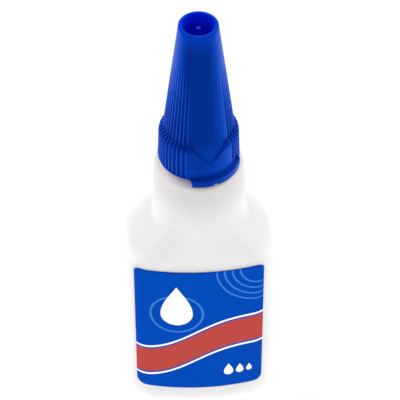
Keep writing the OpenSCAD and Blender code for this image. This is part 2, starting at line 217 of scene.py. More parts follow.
# %% Sizes of the bottle
WALL = 1.0
FLOOR_WALL = 1.2
BASE_ROUND = 2.2
BASE_HOLLOW = 0.6
STAND_RIM = 2.4
HOLLOW_SLOPE = 0.8
HOLLOW_SHARES = np.linspace(0.1, 0.95, 8)
RIM_INNER_MARGIN = 1.0
RIM_OUTER_MARGIN = 0.4
SLOPE_ROWS = 9
RIM_ROWS = 3
EDGE_ROWS = 12
SIDE_HEIGHT = 44.1
FRONT_RISE = 0.9
RIM_POWER = 3.5
SHOULDER_HEIGHT = 8.8
SHOULDER_ROUND = 1.6
FAN_SHARE = 0.6
COLLAR_DIP = 4.4
DIP_POWER = 3
COLLAR_FOOT_R = 9.65
COLLAR_TOP_R = 8.9
COLLAR_HEIGHT = 10.6
COLLAR_ROUND = 1.2
COLLAR_FILLET = 0.9
NECK_R = 5.3
BORE_R = 4.3
NECK_FILLET = 0.5
LIP_ROUND = 0.2
NECK_THREAD_Z = 67.75

COLLAR_Z = SIDE_HEIGHT + FRONT_RISE + SHOULDER_HEIGHT
COLLAR_TOP_Z = COLLAR_Z + COLLAR_HEIGHT
NECK_TOP_Z = bottle_high[2]
print("collar from", COLLAR_Z, "to", COLLAR_TOP_Z, "mm, neck up to", round(NECK_TOP_Z, 2), "mm")


# %% Formulas of the shoulder
def wall_top(x):
    """Height of the wall's upper edge: it falls towards the sides with a power of the distance across."""
    return SIDE_HEIGHT + FRONT_RISE * (1 - (np.abs(x) / (BODY_WIDTH / 2)) ** RIM_POWER)


fan = np.arctan2(FAN_SHARE * body_plan[:, 0], -body_plan[:, 1])


def circle(radius):
    """Circle whose points stand at the angles to which the shoulder's folds gather."""
    return np.stack([radius * np.sin(fan), -radius * np.cos(fan)], axis=1)


dip = COLLAR_DIP * np.abs(np.sin(fan)) ** DIP_POWER


def toward(start, end, length):
    """Points at a length from one ring towards another."""
    step = end - start
    return start + length * step / np.linalg.norm(step, axis=1, keepdims=True)


print("the collar's foot dips by up to", round(dip.max(), 2), "mm at its sides")


# %% Base and shoulder
def base_rows():
    """The hollow under the base, the flat rim and the rounded edge, as outlines drawn in less and less."""
    hollow_inset = BASE_ROUND + STAND_RIM
    innermost = plan(hollow_inset + HOLLOW_SLOPE / 2)
    panel = np.stack([ring(innermost * share, BASE_HOLLOW) for share in HOLLOW_SHARES])
    slope = np.linspace(1, 0, SLOPE_ROWS)
    insets = hollow_inset + HOLLOW_SLOPE * (slope - 0.5)
    heights = BASE_HOLLOW * smooth_step(slope, 0, 1)
    step = np.stack([ring(plan(inset), z) for inset, z in zip(insets, heights)])
    rim_insets = np.linspace(hollow_inset - RIM_INNER_MARGIN, BASE_ROUND + RIM_OUTER_MARGIN, RIM_ROWS)
    flat = np.stack([ring(plan(inset), 0) for inset in rim_insets])
    turn = np.linspace(0, np.pi / 2, EDGE_ROWS)
    edge = np.stack([
        ring(plan(BASE_ROUND * (1 - np.sin(a))), BASE_ROUND * (1 - np.cos(a))) for a in turn
    ])
    return [panel, step, flat, edge]


def shoulder_rows(inset, drop, collar_r):
    """The upright wall, the rounded edge above it and the straight folds up to the collar's circle."""
    outline = plan(inset)
    edge = ring(outline, wall_top(body_plan[:, 0]) - drop)
    foot = ring(circle(collar_r), COLLAR_Z - drop - dip)
    below = edge - [0, 0, SHOULDER_ROUND]
    above = toward(edge, foot, SHOULDER_ROUND)
    before = toward(foot, edge, COLLAR_FILLET)
    return edge, foot, below, above, before


print("base has", sum(len(rows) for rows in base_rows()), "rows")

# %% Outside of the bottle
edge, foot, below, above, before = shoulder_rows(0, 0, COLLAR_FOOT_R)
base_edge = ring(plan(0), BASE_ROUND)
collar_slope = (COLLAR_FOOT_R - COLLAR_TOP_R) / COLLAR_HEIGHT
after = ring(circle(COLLAR_FOOT_R - collar_slope * COLLAR_FILLET), COLLAR_Z + COLLAR_FILLET - dip)
collar_end = ring(circle(COLLAR_TOP_R), COLLAR_TOP_Z - COLLAR_ROUND)
collar_brim = ring(circle(COLLAR_TOP_R - COLLAR_ROUND), COLLAR_TOP_Z)
neck_foot = ring(circle(NECK_R + NECK_FILLET), COLLAR_TOP_Z)
neck_start = ring(circle(NECK_R), COLLAR_TOP_Z + NECK_FILLET)
neck_end = ring(circle(NECK_R), NECK_TOP_Z - LIP_ROUND)
lip_out = ring(circle(NECK_R - LIP_ROUND), NECK_TOP_Z)
lip_in = ring(circle(BORE_R + LIP_ROUND), NECK_TOP_Z)
bore_top = ring(circle(BORE_R), NECK_TOP_Z - LIP_ROUND)

neck_rows = run(neck_start, neck_end, steps=78)
turned = np.arctan2(neck_rows[..., 1], neck_rows[..., 0])
bump = thread_height(turned, neck_rows[..., 2], NECK_THREAD_Z)
neck_rows[..., :2] *= (1 + bump / NECK_R)[..., None]

outside_rows = base_rows() + [
    run(base_edge, below, steps=16)[1:-1],
    bend(below, edge, above, steps=10),
    run(above, before, steps=12)[1:-1],
    bend(before, foot, after, steps=9),
    run(after, collar_end, steps=10)[1:-1],
    bend(collar_end, ring(circle(COLLAR_TOP_R), COLLAR_TOP_Z), collar_brim, steps=7),
    run(collar_brim, neck_foot, steps=4)[1:-1],
    bend(neck_foot, ring(circle(NECK_R), COLLAR_TOP_Z), neck_start, steps=5)[:-1],
    neck_rows,
    bend(neck_end, ring(circle(NECK_R), NECK_TOP_Z), lip_out, steps=4)[1:],
    bend(lip_in, ring(circle(BORE_R), NECK_TOP_Z), bore_top, steps=4),
]
print("outside has", sum(len(rows) for rows in outside_rows), "rows")

# %% Inside of the bottle
INNER_FLOOR_Z = BASE_HOLLOW + FLOOR_WALL
FLOOR_SHARES = np.linspace(0.8, 0.1, 5)
FLOOR_EDGE_ROWS = 7
SLANT_SHARE = 0.25
inner_round = BASE_ROUND - WALL
in_edge, in_foot, in_below, in_above = shoulder_rows(WALL, SLANT_SHARE * WALL, COLLAR_FOOT_R - WALL)[:4]
throat_top = ring(circle(COLLAR_TOP_R - WALL), COLLAR_TOP_Z - WALL - COLLAR_ROUND)
bore_foot = ring(circle(BORE_R), COLLAR_TOP_Z - WALL)
floor_turn = np.linspace(np.pi / 2, 0, FLOOR_EDGE_ROWS)
floor_edge = [
    ring(plan(WALL + inner_round * (1 - np.sin(a))), INNER_FLOOR_Z + inner_round * (1 - np.cos(a)))
    for a in floor_turn
]
floor_panel = [ring(plan(BASE_ROUND) * share, INNER_FLOOR_Z) for share in FLOOR_SHARES]
inside_rows = [
    run(bore_top, bore_foot, steps=6)[1:],
    run(bore_foot, throat_top, steps=4)[1:],
    run(throat_top, in_foot, steps=6)[1:],
    run(in_foot, in_above, steps=6)[1:-1],
    bend(in_above, in_edge, in_below, steps=6),
    run(in_below, floor_edge[0], steps=6)[1:-1],
    np.stack(floor_edge),
    np.stack(floor_panel),
]
print("inside has", sum(len(rows) for rows in inside_rows), "rows")

# %% [markdown]
# The collar is empty and lets light through, and the cap keeps light off its top, so it looks greyer than
# the filled body. This shade is painted into the colour: painted shade. A number from 0 to 1 on every
# point, called an attribute, says how far this goes: it climbs with the height and leaves out the ledge
# under the cap.

# %% Build the bottle
COLLAR_FADE = 2.0
LEDGE_FADE = 0.2
bottle_points = np.concatenate(outside_rows + inside_rows)
bottle = grid_piece("bottle", bottle_points)
climb = bottle_points[..., 2]
reach = np.hypot(bottle_points[..., 0], bottle_points[..., 1])
ledge_r = COLLAR_TOP_R - COLLAR_ROUND
# painted shade on the collar, strongest just under the cap, left off the ledge
hollow = smooth_step(climb, COLLAR_Z - COLLAR_FADE, COLLAR_TOP_Z)
hollow = hollow * smooth_step(reach, ledge_r, ledge_r + LEDGE_FADE)
hollow = np.append(hollow.ravel(), [0, 0]).astype(np.float32)
bottle.data.attributes.new("hollow", "FLOAT", "POINT").data.foreach_set("value", hollow)
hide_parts("bottle_shell")
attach(bottle, "bottle")


# %% [markdown]
# ## The cap's outside
# The cap is injection-moulded. Ribs run up its skirt and fade out on the cone, two smooth panels face
# front and back, each with a pointed notch where the cone's slope runs on into the skirt, and a low
# band hangs under each panel. Cutting all this with booleans gives ragged faces. Instead the radius is
# a formula of the angle and the height: a plain outline, less the grooves, less the notch, and the
# lower edge follows its own formula.

# %% Sizes of the cap
cap_low, cap_high = box_mm("cap_shell")
CAP_TOP_Z = cap_high[2]
BAND_Z = cap_low[2]
SKIRT_R = 8.03
SKIRT_DRAFT = 0.18
BAND_HEIGHT = 1.65
BAND_PROUD = 0.2
BAND_BACK = np.radians(27.5)
BAND_ON = np.radians(62.5)
BAND_FILLET = 0.7
BAND_END = 0.14
GATE_AT = np.radians(6.5)
GATE_WIDTH = 0.45
GATE_DEPTH = 0.5
GROOVE_HEIGHT = 2.2
GROOVE_DEPTH = 0.8
GROOVE_STOP = np.radians(3.0)
GROOVE_FULL = np.radians(6.0)
GROOVE_SHARE = 0.7
CONE_Z = 73.6
CONE_FOOT_R = 7.0
CONE_TOP_R = 3.8
SKIRT_ROUND = 1.3
TOP_ROUND = 0.25
PANEL_TURN = np.radians(14.5)
PANEL_ANGLE = np.radians(38.8)
GRIP_COUNT = 15
GRIP_DEPTH = 0.3
FLUTE_DEPTH = 0.28
FLUTE_FADE = 6.0
RIM_LIP = 0.4
MARK_ANGLE = np.radians(25.5)
MARK_HEIGHT = 3.4
MARK_SINK = 0.08
SOFT_EDGE = 0.16
EDGE_ROUND = 0.14

RIM_Z = BAND_Z + BAND_HEIGHT
SKIRT_TOP_Z = CONE_Z - SKIRT_ROUND
MARK_Z = CONE_Z - MARK_HEIGHT
GRIP_PITCH = (np.pi - 2 * PANEL_ANGLE) / (GRIP_COUNT - 1)
PANEL_EDGE = PANEL_ANGLE - GRIP_PITCH / 2
PANEL_COLUMNS = 72
GROOVE_COLUMNS = 8
print("cap from", round(BAND_Z, 2), "to", round(CAP_TOP_Z, 2), "mm, with", 2 * GRIP_COUNT, "grooves")


# %% Formulas of the cap's outside
def panel_offset(angle):
    """Angle from the middle of the nearer smooth panel."""
    return angle - np.pi * np.floor(angle / np.pi + 0.5)


def groove_share(offset):
    """0 on the smooth panels, and between them a wave that is 1 in the middle of every groove."""
    off = np.abs(offset)
    return np.where(off < PANEL_EDGE, 0, (1 + np.cos(2 * np.pi * (off - PANEL_ANGLE) / GRIP_PITCH)) / 2)


def between(value, low, high, soft):
    """1 between two limits and 0 outside them, with soft flanks."""
    risen = smooth_step(value, low - soft / 2, low + soft / 2)
    fallen = smooth_step(value, high - soft / 2, high + soft / 2)
    return risen * (1 - fallen)


def plain_radius(z):
    """Radius of the smooth outline: drafted skirt, a quarter of an ellipse and the straight cone."""
    skirt = SKIRT_R - SKIRT_DRAFT * (z - RIM_Z) / (SKIRT_TOP_Z - RIM_Z)
    rounding = np.sqrt(np.clip(1 - ((z - SKIRT_TOP_Z) / SKIRT_ROUND) ** 2, 0, 1))
    shoulder = CONE_FOOT_R + (SKIRT_R - SKIRT_DRAFT - CONE_FOOT_R) * rounding
    cone = CONE_TOP_R + (CONE_FOOT_R - CONE_TOP_R) * (CAP_TOP_Z - z) / (CAP_TOP_Z - CONE_Z)
    return np.where(z < SKIRT_TOP_Z, skirt, np.where(z < CONE_Z, shoulder, cone))


def grip_depth(z):
    """Depth of the grooves: none on the rim's lip, even on the skirt, and fading out up the cone."""
    fade = np.clip((CAP_TOP_Z - FLUTE_FADE - z) / (CAP_TOP_Z - FLUTE_FADE - CONE_Z), 0, 1)
    above_lip = smooth_step(z, RIM_Z + RIM_LIP, RIM_Z + 2 * RIM_LIP)
    return np.where(z < CONE_Z, GRIP_DEPTH * above_lip, FLUTE_DEPTH * fade)


print("radius at the skirt's top", round(float(plain_radius(SKIRT_TOP_Z)), 2), "mm")


# %% Bands, long groove and notch
def lower_edge(offset):
    """Height of the lower edge: the bands hang below the rim, with a hollow round at both their ends."""
    from_start = SKIRT_R * (offset + BAND_BACK)
    to_end = SKIRT_R * (BAND_ON - offset)
    inward = np.minimum(from_start, to_end)
    reach = np.clip(inward + BAND_FILLET, 0, BAND_FILLET)
    hollow = BAND_FILLET - np.sqrt(BAND_FILLET ** 2 - reach ** 2)
    drop = hollow + (BAND_HEIGHT - BAND_FILLET) * smooth_step(inward, 0, BAND_END)
    gate = np.abs(SKIRT_R * (offset - GATE_AT)) / GATE_WIDTH
    return RIM_Z - np.clip(drop, 0, BAND_HEIGHT) + GATE_DEPTH * np.clip(1 - gate, 0, 1)


def mark_rise(z):
    """Share of the notch's height: 0 at its point and below, 1 at its top and above."""
    return np.clip((z - MARK_Z) / MARK_HEIGHT, 0, 1)


def inside_mark(offset, z):
    """Way in mm from the notch's edge inwards; it is below zero outside the notch."""
    return SKIRT_R * (np.sin(MARK_ANGLE) * mark_rise(z) - np.abs(np.sin(offset)))


def outer_radius(offset, z):
    """The cap's outside: plain radius less the grooves, plus the bands, less the long groove and notch."""
    radius = plain_radius(z) - grip_depth(z) * groove_share(offset)
    low = 1 - smooth_step(z, RIM_Z - SOFT_EDGE, RIM_Z)
    on_band = between(SKIRT_R * offset, -SKIRT_R * BAND_BACK, SKIRT_R * BAND_ON, SOFT_EDGE)
    radius = radius + BAND_PROUD * on_band * low
    groove_to = SKIRT_R * (BAND_ON - GROOVE_STOP)
    opened = smooth_step(offset, -PANEL_EDGE, GROOVE_FULL - BAND_BACK)
    opened = opened * (1 - smooth_step(SKIRT_R * offset, groove_to - SOFT_EDGE, groove_to + SOFT_EDGE))
    groove_low = RIM_Z + GROOVE_HEIGHT * (1 - smooth_step(offset, -PANEL_EDGE, -BAND_BACK)) * GROOVE_SHARE
    in_groove = between(z, groove_low, RIM_Z + GROOVE_HEIGHT, SOFT_EDGE)
    radius = radius + (np.minimum(radius, SKIRT_R - GROOVE_DEPTH * opened) - radius) * in_groove
    ramp_foot = plain_radius(MARK_Z) - MARK_SINK
    ramp = ramp_foot + (CONE_FOOT_R - plain_radius(MARK_Z) + MARK_SINK) * mark_rise(z)
    notch = smooth_step(inside_mark(offset, z), 0, SOFT_EDGE) * (z < CONE_Z)
    return radius + (np.minimum(radius, ramp) - radius) * notch


print("notch", MARK_HEIGHT, "mm high, long groove", GROOVE_HEIGHT, "mm high")


# %% [markdown]
# ## The cap's rows
# The rows make one closed loop: up the outside, over the rim, down into the deep recess, through the
# small hole for the pin, under the web, down the hollow cone and the threaded bore, and back to the
# lower edge. Rows stand close together where the notch and the long groove need crisp edges, and far
# apart on the plain cone.

# %% Columns of the cap
panel_part = np.linspace(-PANEL_EDGE, PANEL_EDGE, PANEL_COLUMNS + 1)
groove_part = PANEL_EDGE + GRIP_PITCH * np.arange(1, GRIP_COUNT * GROOVE_COLUMNS) / GROOVE_COLUMNS
half_turn = np.concatenate([panel_part, groove_part])
cap_angle = np.concatenate([half_turn, half_turn + np.pi])
offset = panel_offset(cap_angle)
bottom = lower_edge(offset)


def cap_rows(radius, z):
    """Grid of points (rows, columns, 3) from radii and heights that broadcast over rows and columns."""
    radius, z = np.broadcast_arrays(radius, z, subok=False)
    angle = cap_angle + PANEL_TURN
    return np.stack([radius * np.sin(angle), -radius * np.cos(angle), z], axis=-1)


def level_rows(profile):
    """Plain turned rows from a list of radius and height pairs, the same all round."""
    pairs = np.array(profile, float)[:, :, None]
    full = np.ones((len(profile), len(cap_angle)))
    return cap_rows(pairs[:, 0] * full, pairs[:, 1] * full)


print("cap has", len(cap_angle), "columns")

# %% Outside of the cap
FOOT_ROWS = 5
ZONE_ROWS = 15
GROOVE_ROWS = 24
SKIRT_ROWS = 6
MARK_ROWS = 54
CONE_ROWS = 26
GROOVE_MARGIN = 0.4
MARK_MARGIN = 0.2

lowest = np.linspace(0, 1, FOOT_ROWS)[:, None]
foot_z = bottom + EDGE_ROUND * (1 - np.cos(lowest * np.pi / 2))
foot_r = outer_radius(offset, foot_z) - EDGE_ROUND * (1 - np.sin(lowest * np.pi / 2))
zone_top = RIM_Z + 2 * EDGE_ROUND
zone_share = np.linspace(0, 1, ZONE_ROWS)[1:, None]
zone_z = bottom + EDGE_ROUND + (zone_top - bottom - EDGE_ROUND) * zone_share
groove_end = RIM_Z + GROOVE_HEIGHT + GROOVE_MARGIN
mark_start = MARK_Z - MARK_MARGIN
upper_z = np.concatenate([
    np.linspace(zone_top, groove_end, GROOVE_ROWS)[1:],
    np.linspace(groove_end, mark_start, SKIRT_ROWS)[1:],
    np.linspace(mark_start, CONE_Z, MARK_ROWS)[1:],
    np.linspace(CONE_Z, CAP_TOP_Z - TOP_ROUND, CONE_ROWS)[1:],
])[:, None]
outside = [
    cap_rows(foot_r, foot_z),
    cap_rows(outer_radius(offset, zone_z), zone_z),
    cap_rows(outer_radius(offset, upper_z), upper_z * np.ones(len(cap_angle))),
]
print("outside has", sum(len(rows) for rows in outside), "rows")

# %% Recess and hollow of the cap
CEILING_Z = 72.6
WEB_Z = 91.75
WEB_MIDDLE_R = 1.6
WEB_EDGE = 0.1
WEB_RING_SHARE = 0.6
RECESS_Z = 92.95
RECESS_MOUTH_R = 3.1
RECESS_FLOOR_R = 2.9
RECESS_FILLET = 0.5
RECESS_ROWS = 9
PIN_HOLE_R = 0.45
CAP_BORE_R = 6.35
CONE_WALL = 1.3
HOLLOW_ROWS = 8
CORNER_CUT = 0.2
ROUND_ROWS = 6


def quarter_turn(r, z, size_r, size_z, start=0):
    """Pairs of radius and height on a quarter circle: r + size_r (1 - cos a), z + size_z (1 - sin a)."""
    angles = np.linspace(0, np.pi / 2, ROUND_ROWS)[start:]
    return [(r + size_r * (1 - np.cos(a)), z + size_z * (1 - np.sin(a))) for a in angles]


def straight(first, last, rows):
    """Pairs of radius and height on a line, without its first pair."""
    return list(zip(np.linspace(first[0], last[0], rows)[1:], np.linspace(first[1], last[1], rows)[1:]))


rim_out = quarter_turn(CONE_TOP_R, CAP_TOP_Z, -TOP_ROUND, -TOP_ROUND, start=1)
rim_in = quarter_turn(RECESS_MOUTH_R, CAP_TOP_Z, TOP_ROUND, -TOP_ROUND)[::-1]
recess_foot = (RECESS_FLOOR_R, RECESS_Z + RECESS_FILLET)
recess_wall = straight((RECESS_MOUTH_R, CAP_TOP_Z - TOP_ROUND), recess_foot, RECESS_ROWS)
recess_turn = quarter_turn(RECESS_FLOOR_R, RECESS_Z, -RECESS_FILLET, RECESS_FILLET, start=1)
web_hole = [
    (WEB_MIDDLE_R, RECESS_Z),
    (PIN_HOLE_R + WEB_EDGE, RECESS_Z),
    (PIN_HOLE_R, RECESS_Z - WEB_EDGE),
    (PIN_HOLE_R, WEB_Z + WEB_EDGE),
    (PIN_HOLE_R + WEB_EDGE, WEB_Z),
]
inner_top_r = plain_radius(WEB_Z) - CONE_WALL
inner_foot_r = CONE_FOOT_R - CONE_WALL
hollow_cone = [
    (inner_top_r * WEB_RING_SHARE, WEB_Z),
    (inner_top_r - CORNER_CUT, WEB_Z),
    (inner_top_r, WEB_Z - CORNER_CUT),
] + straight((inner_top_r, WEB_Z), (inner_foot_r, CEILING_Z), HOLLOW_ROWS)
ceiling = [(CAP_BORE_R - CORNER_CUT, CEILING_Z)]
turned_rows = level_rows(rim_out + rim_in + recess_wall + recess_turn + web_hole + hollow_cone + ceiling)
print("recess and hollow have", len(turned_rows), "rows")

# %% Threaded bore of the cap
CAP_THREAD_Z = 66.9
BORE_ROWS = 52
bore_share = np.linspace(0, 1, BORE_ROWS)[:, None]
bore_z = CEILING_Z - CORNER_CUT + (bottom + EDGE_ROUND - CEILING_Z + CORNER_CUT) * bore_share
thread_angle = cap_angle + PANEL_TURN - np.pi / 2
bore_r = CAP_BORE_R - thread_height(thread_angle, bore_z, CAP_THREAD_Z)
seat = [cap_rows(bore_r, bore_z), cap_rows(np.full(len(cap_angle), CAP_BORE_R + EDGE_ROUND), bottom)[None]]
print("bore is", round(2 * CAP_BORE_R, 2), "mm wide")

# %% [markdown]
# The blue of the cap is not the same all over, and this is painted light and shade, not the plastic's
# own colour: painted shade in the grooves, in the ledge above the skirt, along the notch's edges and at
# the lower edge; painted light on the skirt, inside the notch, towards the top and in the recess.
# Painting this by hand would not follow the formulas, so each is an attribute worked out from the same
# heights and angles as the shape.

# %% Build the cap
# Sizes of the painted light and shade on the cap.
GLOW_REACH = 4.0
SKIRT_FADE = 1.0
LEDGE_FOOT = 1.3
LEDGE_RISE = 1.1
LEDGE_SOFT = 1.4
NOTCH_HALF = np.radians(28.0)
NOTCH_SOFT = np.radians(9.0)
NOTCH_EDGE_SHADE_HALF = 0.16
NOTCH_PAINT_SOFT = 0.3

cap_points = np.concatenate(outside + [turned_rows] + seat)
cap = grid_piece("cap", cap_points, ring_shaped=True)
cap_height = cap_points[..., 2]
cap_radius = np.hypot(cap_points[..., 0], cap_points[..., 1])
groove_run = (offset > -PANEL_EDGE) * (offset < BAND_ON - GROOVE_STOP)
in_long_groove = groove_run * (cap_height < RIM_Z + GROOVE_HEIGHT)
from_mark = inside_mark(offset, cap_height)
at_mark = between(cap_height, MARK_Z, CONE_Z, NOTCH_PAINT_SOFT) * (cap_radius > (CAP_BORE_R + CONE_FOOT_R) / 2)
PAINTED_LIGHT_AND_SHADE = {
    # painted shade in the grooves, but not in the long groove over the band
    "crest": 1 - groove_share(offset) * (1 - in_long_groove),
    # painted light: lighter towards the top, as light shows through the thin wall round the recess
    "glow": smooth_step(cap_height, CAP_TOP_Z - GLOW_REACH, CAP_TOP_Z),
    # painted light inside the recess
    "painted_recess_light": (cap_height > WEB_Z)
    * (1 - smooth_step(cap_radius, RECESS_MOUTH_R, RECESS_MOUTH_R + TOP_ROUND)),
    # painted shade along the lower edge
    "lip": 1 - smooth_step(cap_height - bottom, EDGE_ROUND, 3 * EDGE_ROUND),
    # painted light below the cone: the upright skirt, its notch and band catch more light
    "skirt": 1 - smooth_step(cap_height, CONE_Z - SKIRT_FADE, CONE_Z + SKIRT_FADE),
    # painted shade in the ledge where the skirt turns into the cone, left out round the notch
    "ledge": between(cap_height, SKIRT_TOP_Z + LEDGE_FOOT, CONE_Z + LEDGE_RISE, LEDGE_SOFT)
    * (1 - smooth_step(NOTCH_HALF - np.abs(offset), 0, NOTCH_SOFT)),
    # painted light inside the notch
    "painted_notch_light": smooth_step(from_mark, 0, NOTCH_PAINT_SOFT) * at_mark,
    # painted shade along the notch's edges, where its side steps stand in shadow
    "painted_notch_edge_shade": between(from_mark, -NOTCH_EDGE_SHADE_HALF, NOTCH_EDGE_SHADE_HALF, NOTCH_PAINT_SOFT) * at_mark,
}
for shade, values in PAINTED_LIGHT_AND_SHADE.items():
    attribute = cap.data.attributes.new(shade, "FLOAT", "POINT")
    attribute.data.foreach_set("value", values.astype(np.float32).ravel())
print("cap has the shades", sorted(PAINTED_LIGHT_AND_SHADE))
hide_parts("cap_shell")
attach(cap, "cap")


# %% [markdown]
# ## The labels
# Two film labels are stuck to the bowed walls and just start round the corners. A flat plane with a
# shrink-wrap would do, but the body's outline is known, so each point of the label is looked up on it:
# the column gives the way along the outline, the row gives the height. A second pair of numbers is kept
# on every point, its place on the flat label in millimetres, so that the print can follow the film
# round the curve.

# %% Label surface
LABEL_LOW = 6.0
LABEL_HEIGHT = 36.0
LABEL_WIDTH = 26.2
LABEL_CORNER = 1.4
LABEL_SHIFT = -0.4
LABEL_THICK = 0.12
LABEL_COLUMNS = 97
LABEL_ROWS = 90


def label_sheet(name, side):
    """Film along the outline: side is 1 for the front and -1 for the back.

    Columns lie along the outline between the label's two ends and crowd towards the ends by (3t - t^3) / 2.
    In a column the film is as high as the label, less a quarter circle where the column lies within
    a corner's radius of an end.
    """
    front = np.concatenate([body_plan[-len(body_plan) // 4:], body_plan[:len(body_plan) // 4 + 1]])
    length = np.concatenate([[0], np.cumsum(np.hypot(*np.diff(front, axis=0).T))])
    ends = LABEL_SHIFT + LABEL_WIDTH * np.array([-0.5, 0.5])
    first, last = np.interp(ends, front[:, 0], length)
    ease = np.linspace(-1, 1, LABEL_COLUMNS)
    ease = ease * (1.5 - 0.5 * ease ** 2)
    along = first + (last - first) * (ease + 1) / 2
    x = np.interp(along, length, front[:, 0])
    y = np.interp(along, length, front[:, 1])
    to_end = np.minimum(x - ends[0], ends[1] - x)
    inset = np.clip(LABEL_CORNER - to_end, 0, LABEL_CORNER)
    cut = LABEL_CORNER - np.sqrt(np.maximum(LABEL_CORNER ** 2 - inset ** 2, 0))
    rise = np.linspace(0, 1, LABEL_ROWS)[:, None]
    up = cut + (LABEL_HEIGHT - 2 * cut) * rise
    points = np.stack([side * (x + 0 * up), side * (y + 0 * up), LABEL_LOW + up], axis=-1)
    here = np.arange(up.size).reshape(up.shape)
    quads = np.stack([here[:-1, :-1], here[:-1, 1:], here[1:, 1:], here[1:, :-1]], axis=-1).reshape(-1, 4)
    mesh = bpy.data.meshes.new(name)
    mesh.from_pydata((points.reshape(-1, 3) * MM).tolist(), [], quads.tolist())
    mesh.shade_smooth()
    place = np.stack([along - (first + last) / 2 + 0 * up, up, 0 * up], axis=-1)
    attribute = mesh.attributes.new("print_place", "FLOAT_VECTOR", "POINT")
    attribute.data.foreach_set("vector", place.astype(np.float32).ravel())
    sheet = bpy.data.objects.new(name, mesh)
    bpy.context.scene.collection.objects.link(sheet)
    film = sheet.modifiers.new("film", "SOLIDIFY")
    film.thickness = LABEL_THICK * MM
    film.offset = 1
    print(name, "is", round(last - first, 2), "mm long on the curve")
    return sheet


front_film = label_sheet("front_film", 1)
back_film = label_sheet("back_film", -1)
for sheet, node, slot in (
    (front_film, "front_label", "front_label_film"),
    (back_film, "back_label", "back_label_film"),
):
    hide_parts(node)
    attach(sheet, "bottle")


# %% [markdown]
# ## Formulas as nodes
# A print or a grain is a formula of the place on the surface. Node trees with dozens of Math nodes are
# hard to read, so a small class lets Python write them: adding or multiplying two wires adds the Math
# node that does it.

# %% Wires
class Wire:
    """A number that flows through a node tree; arithmetic on wires adds Math nodes."""

    def __init__(self, tree, socket):
        self.tree = tree
        self.socket = socket

    def math(self, operation, *others, clamp=False):
        node = self.tree.nodes.new("ShaderNodeMath")
        node.operation = operation
        node.use_clamp = clamp
        for place, value in enumerate((self, *others)):
            if isinstance(value, Wire):
                self.tree.links.new(value.socket, node.inputs[place])
            else:
                node.inputs[place].default_value = value
        return Wire(self.tree, node.outputs[0])

    def __add__(self, other):
        return self.math("ADD", other)

    def __sub__(self, other):
        return self.math("SUBTRACT", other)

    def __mul__(self, other):
        return self.math("MULTIPLY", other)

    def size(self):
        return self.math("ABSOLUTE")

    def least(self, other):
        return self.math("MINIMUM", other)

    def most(self, other):
        return self.math("MAXIMUM", other)

    def root(self):
        return self.math("SQRT")

    def wave(self):
        return self.math("SINE")

    def over(self, limit):
        return self.math("GREATER_THAN", limit)

    def clamped(self):
        return self.math("ADD", 0.0, clamp=True)


print("wires ready")


# %% Helpers for nodes
def place_nodes(tree, kind, **values):
    """A new node with plain values on the named input sockets."""
    node = tree.nodes.new(kind)
    for socket, value in values.items():
        node.inputs[socket.replace("_", " ")].default_value = value
    return node


def mixed(tree, share, first, second):
    """Socket with the mix of two colours, each a plain colour or a socket, by a wire."""
    node = tree.nodes.new("ShaderNodeMix")
    node.data_type = "RGBA"
    tree.links.new(share.socket, node.inputs[0])
    for socket, colour in ((node.inputs[6], first), (node.inputs[7], second)):
        if isinstance(colour, bpy.types.NodeSocket):
            tree.links.new(colour, socket)
        else:
            socket.default_value = (*colour, 1)
    return node.outputs[2]


print("node helpers ready")


# %% [markdown]
# ## Grain that all mouldings share
# Moulded plastic is never perfectly even: the steel of the mould leaves a very fine texture, and the
# wall clouds slightly where it cooled at another pace. Both are noise of the place on the object. They
# are one node group, used by every plastic and, at finer scales, by the film of the labels.

# %% Moulded grain group
GRAIN_SCALE = 900.0
CLOUD_SCALE = 60.0
GRAIN_DETAIL = 2.0
CLOUD_DETAIL = 3.0
NOISE_ROUGHNESS = 0.55


def moulded_grain_group():
    """Group: Grain is fine noise for bumps, Cloud is broad soft noise for colour and gloss."""
    group = bpy.data.node_groups.new("moulded_grain", "ShaderNodeTree")
    for name, value in (("Grain Scale", GRAIN_SCALE), ("Cloud Scale", CLOUD_SCALE)):
        socket = group.interface.new_socket(name, in_out="INPUT", socket_type="NodeSocketFloat")
        socket.default_value = value
    for name in ("Grain", "Cloud"):
        group.interface.new_socket(name, in_out="OUTPUT", socket_type="NodeSocketFloat")
    start = group.nodes.new("NodeGroupInput")
    end = group.nodes.new("NodeGroupOutput")
    coordinates = group.nodes.new("ShaderNodeTexCoord")
    for name, detail in (("Grain", GRAIN_DETAIL), ("Cloud", CLOUD_DETAIL)):
        noise = place_nodes(group, "ShaderNodeTexNoise", Detail=detail, Roughness=NOISE_ROUGHNESS)
        group.links.new(coordinates.outputs["Object"], noise.inputs["Vector"])
        group.links.new(start.outputs[name + " Scale"], noise.inputs["Scale"])
        group.links.new(noise.outputs["Fac"], end.inputs[name])
    return group


MOULDED_GRAIN = moulded_grain_group()


